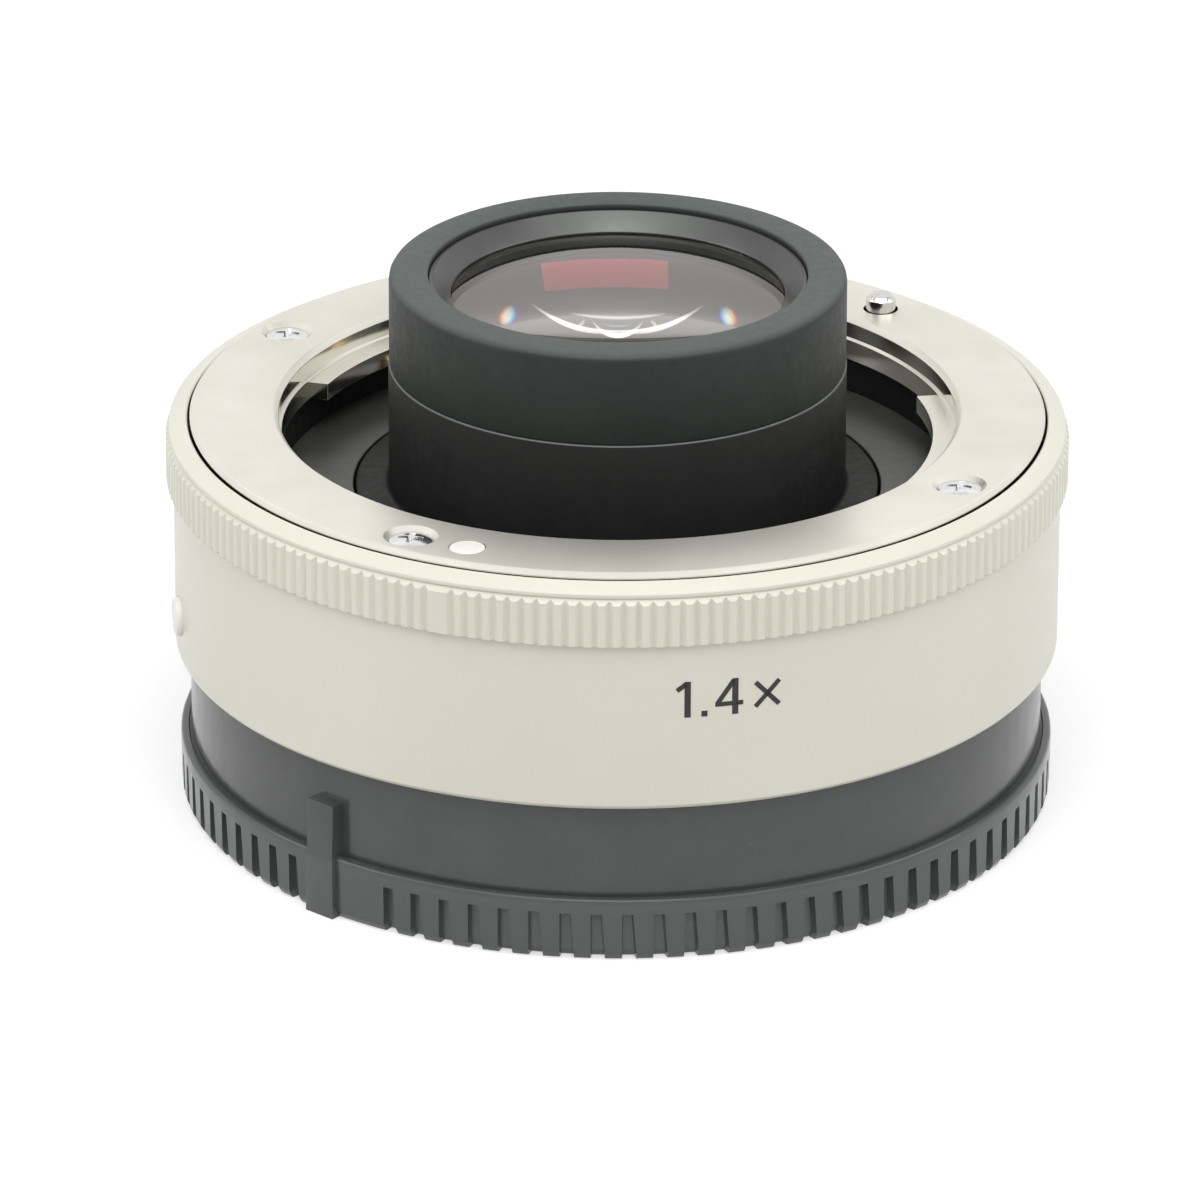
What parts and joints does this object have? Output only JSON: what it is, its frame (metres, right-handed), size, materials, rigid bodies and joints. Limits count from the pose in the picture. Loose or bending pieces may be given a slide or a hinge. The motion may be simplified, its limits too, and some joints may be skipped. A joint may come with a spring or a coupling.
{
  "type": "camera teleconverter",
  "caption": "Short white camera teleconverter: steel bayonet lens mount, lens nose standing in its throat, knurled ring, sprung lens lock and a ribbed black rear cap that twists.",
  "frame": {"origin": "centre of the rear cap's underside, on the surface it stands on", "axes": "+Z along the optical axis towards the lens; +X to the right and -Y towards the viewer of the picture"},
  "size_m": [0.0624, 0.0624, 0.038],
  "materials": {
    "steel_mount": "finely turned stainless steel",
    "white_paint": "satin off-white paint",
    "button_white": "satin off-white plastic",
    "chassis_black": "matt black cast metal",
    "nose_black": "satin black anodised metal",
    "floor_black": "matt black",
    "ring_black": "black anodised",
    "cap_plastic": "fine-grained black plastic",
    "index_white": "white",
    "lock_steel": "polished steel",
    "screw_steel": "plated steel",
    "spring_steel": "drawn wire",
    "glass_front": "coated glass with a pink-purple reflection",
    "glass_inner": "coated glass",
    "contact_gold": "gold plated",
    "contact_plastic": "black moulded",
    "board_green": "solder-masked board",
    "chip_black": "moulded package",
    "flex_amber": "polyimide film"
  },
  "bodies": {
    "converter": {"front_mount_ring": "steel_mount", "rear_mount_ring": "steel_mount", "knurled_ring": "white_paint", "outer_barrel": "white_paint", "chassis": "chassis_black", "nose_barrel": "nose_black", "nose_hood": "nose_black", "throat_floor": "floor_black", "rear_baffle": "floor_black", "front_retaining_ring": "ring_black", "rear_retaining_ring": "ring_black", "front_spacer": "ring_black", "middle_spacer": "ring_black", "rear_spacer": "ring_black", "front_index_dot": "index_white", "camera_index_dot": "index_white", "front_mount_screws": "screw_steel", "rear_mount_screws": "screw_steel", "lens_unit_screws": "screw_steel", "lock_pin_spring": "spring_steel", "release_springs": "spring_steel", "contact_springs": "spring_steel", "lens_front": "glass_front", "lens_doublet_convex": "glass_inner", "lens_doublet_concave": "glass_inner", "lens_biconcave": "glass_inner", "lens_biconvex": "glass_inner", "lens_rear": "glass_inner", "rear_contact_pads": "contact_gold", "front_contact_block": "contact_plastic", "rear_contact_block": "contact_plastic", "circuit_board": "board_green", "control_chip": "chip_black", "flex_cable": "flex_amber"},
    "lock_pin": {"lock_pin": "lock_steel"},
    "release_button": {"release_button": "button_white"},
    "contact_pins": {"contact_pins": "contact_gold"},
    "rear_cap": {"rear_cap": "cap_plastic"}
  },
  "joints": [
    {"name": "cap_twist", "type": "hinge", "parent": "converter", "child": "rear_cap", "pos_m": [0, 0, 0], "axis": [0, 0, 1], "range_deg": [-39, 0]},
    {"name": "release_press", "type": "slide", "parent": "converter", "child": "release_button", "axis": [-0.7071, -0.7071, 0], "range_m": [0, 0.0012], "stiffness_N_per_m": 500, "springref_m": -0.0006, "deforming": ["release_springs"]},
    {"name": "lock_pin_drop", "type": "slide", "parent": "converter", "child": "lock_pin", "axis": [0, 0, -1], "range_m": [0, 0.0012], "stiffness_N_per_m": 300, "springref_m": -0.001, "deforming": ["lock_pin_spring"]},
    {"name": "contact_press", "type": "slide", "parent": "converter", "child": "contact_pins", "axis": [0, 0, -1], "range_m": [0, 0.0006], "stiffness_N_per_m": 400, "springref_m": -0.0005, "deforming": ["contact_springs"]}
  ],
  "couplings": [
    {"joint": "lock_pin_drop", "follows": "release_press", "ratio": 1}
  ]
}
